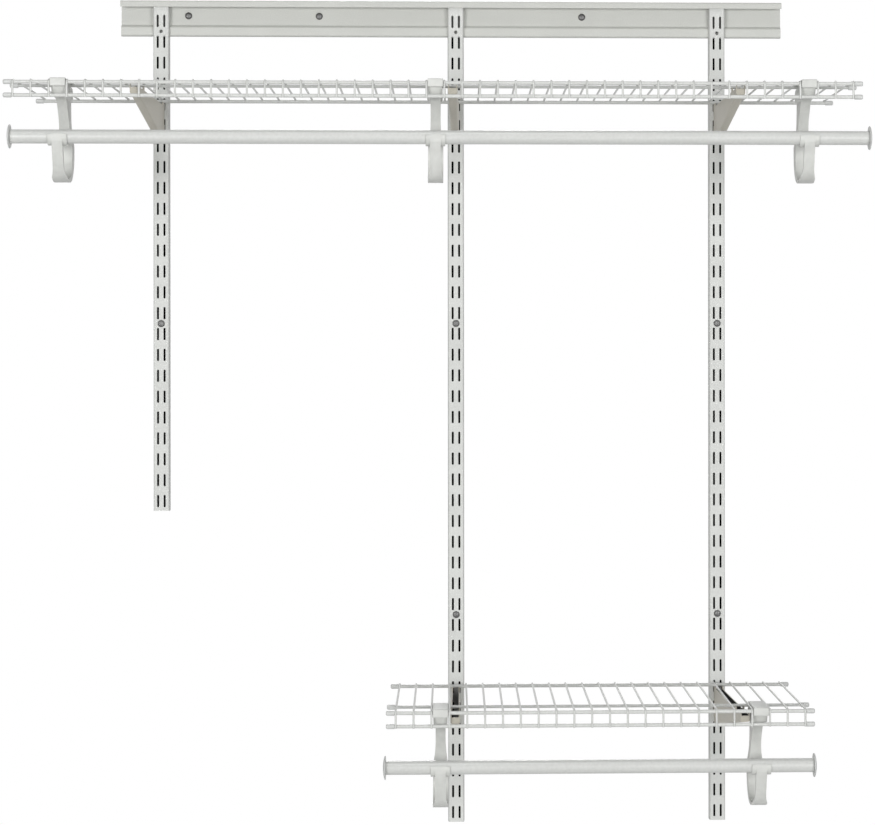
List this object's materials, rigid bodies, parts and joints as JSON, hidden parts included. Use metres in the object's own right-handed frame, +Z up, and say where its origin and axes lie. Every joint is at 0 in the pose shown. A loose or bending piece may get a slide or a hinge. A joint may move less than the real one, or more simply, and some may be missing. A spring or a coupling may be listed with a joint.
{
  "type": "wall mounted closet system",
  "caption": "White wire closet kit: a hang rail on the wall carries slotted uprights, brackets, wire shelves and closet rods held in hooks under them.",
  "frame": {"origin": "on the wall, behind the middle of the hang rail", "axes": "+X to the right along the wall, +Y into the wall, +Z up"},
  "size_m": [1.2354, 0.3497, 1.262],
  "materials": {
    "steel": "satin white powder coat",
    "upright_steel": "light grey textured powder coat",
    "bracket_steel": "satin white powder coat",
    "wire": "white epoxy coat",
    "rod_steel": "gloss white coat",
    "zinc": "zinc plate",
    "hook_plastic": "moulded white",
    "cap_plastic": "moulded white",
    "tip_plastic": "moulded white"
  },
  "bodies": {
    "wall_frame": {"hang_rail": "steel", "rail_screw_left": "zinc", "rail_screw_inner": "zinc", "rail_screw_right": "zinc", "upright_left": "upright_steel", "upright_center": "upright_steel", "upright_right": "upright_steel", "upright_screw_left_middle": "zinc", "upright_screw_center_middle": "zinc", "upright_screw_center_lower": "zinc", "upright_screw_right_middle": "zinc", "upright_screw_right_lower": "zinc", "bracket_upper_left": "bracket_steel", "bracket_upper_center": "bracket_steel", "bracket_upper_right": "bracket_steel", "bracket_lower_center": "bracket_steel", "bracket_lower_right": "bracket_steel"},
    "upper_shelf": {"shelf_upper": "wire", "hook_upper_left": "hook_plastic", "hook_upper_center": "hook_plastic", "hook_upper_right": "hook_plastic", "tip_upper_front_left": "tip_plastic", "tip_upper_front_right": "tip_plastic", "tip_upper_lip_left": "tip_plastic", "tip_upper_lip_right": "tip_plastic", "tip_upper_second_left": "tip_plastic", "tip_upper_second_right": "tip_plastic", "tip_upper_back_left": "tip_plastic", "tip_upper_back_right": "tip_plastic"},
    "upper_rod": {"rod_upper": "rod_steel", "rod_upper_cap_left": "cap_plastic", "rod_upper_cap_right": "cap_plastic"},
    "lower_shelf": {"shelf_lower": "wire", "hook_lower_left": "hook_plastic", "hook_lower_right": "hook_plastic", "tip_lower_front_left": "tip_plastic", "tip_lower_front_right": "tip_plastic", "tip_lower_lip_left": "tip_plastic", "tip_lower_lip_right": "tip_plastic", "tip_lower_second_left": "tip_plastic", "tip_lower_second_right": "tip_plastic", "tip_lower_back_left": "tip_plastic", "tip_lower_back_right": "tip_plastic"},
    "lower_rod": {"rod_lower": "rod_steel", "rod_lower_cap_left": "cap_plastic", "rod_lower_cap_right": "cap_plastic"}
  },
  "joints": [
    {"name": "upper_shelf_lift", "type": "slide", "parent": "wall_frame", "child": "upper_shelf", "axis": [0, 0, 1], "range_m": [0, 0.04]},
    {"name": "upper_rod_slide", "type": "slide", "parent": "upper_shelf", "child": "upper_rod", "axis": [1, 0, 0], "range_m": [-0.071, 0.0523]},
    {"name": "lower_shelf_lift", "type": "slide", "parent": "wall_frame", "child": "lower_shelf", "axis": [0, 0, 1], "range_m": [0, 0.04]},
    {"name": "lower_rod_slide", "type": "slide", "parent": "lower_shelf", "child": "lower_rod", "axis": [1, 0, 0], "range_m": [-0.0606, 0.0628]}
  ]
}
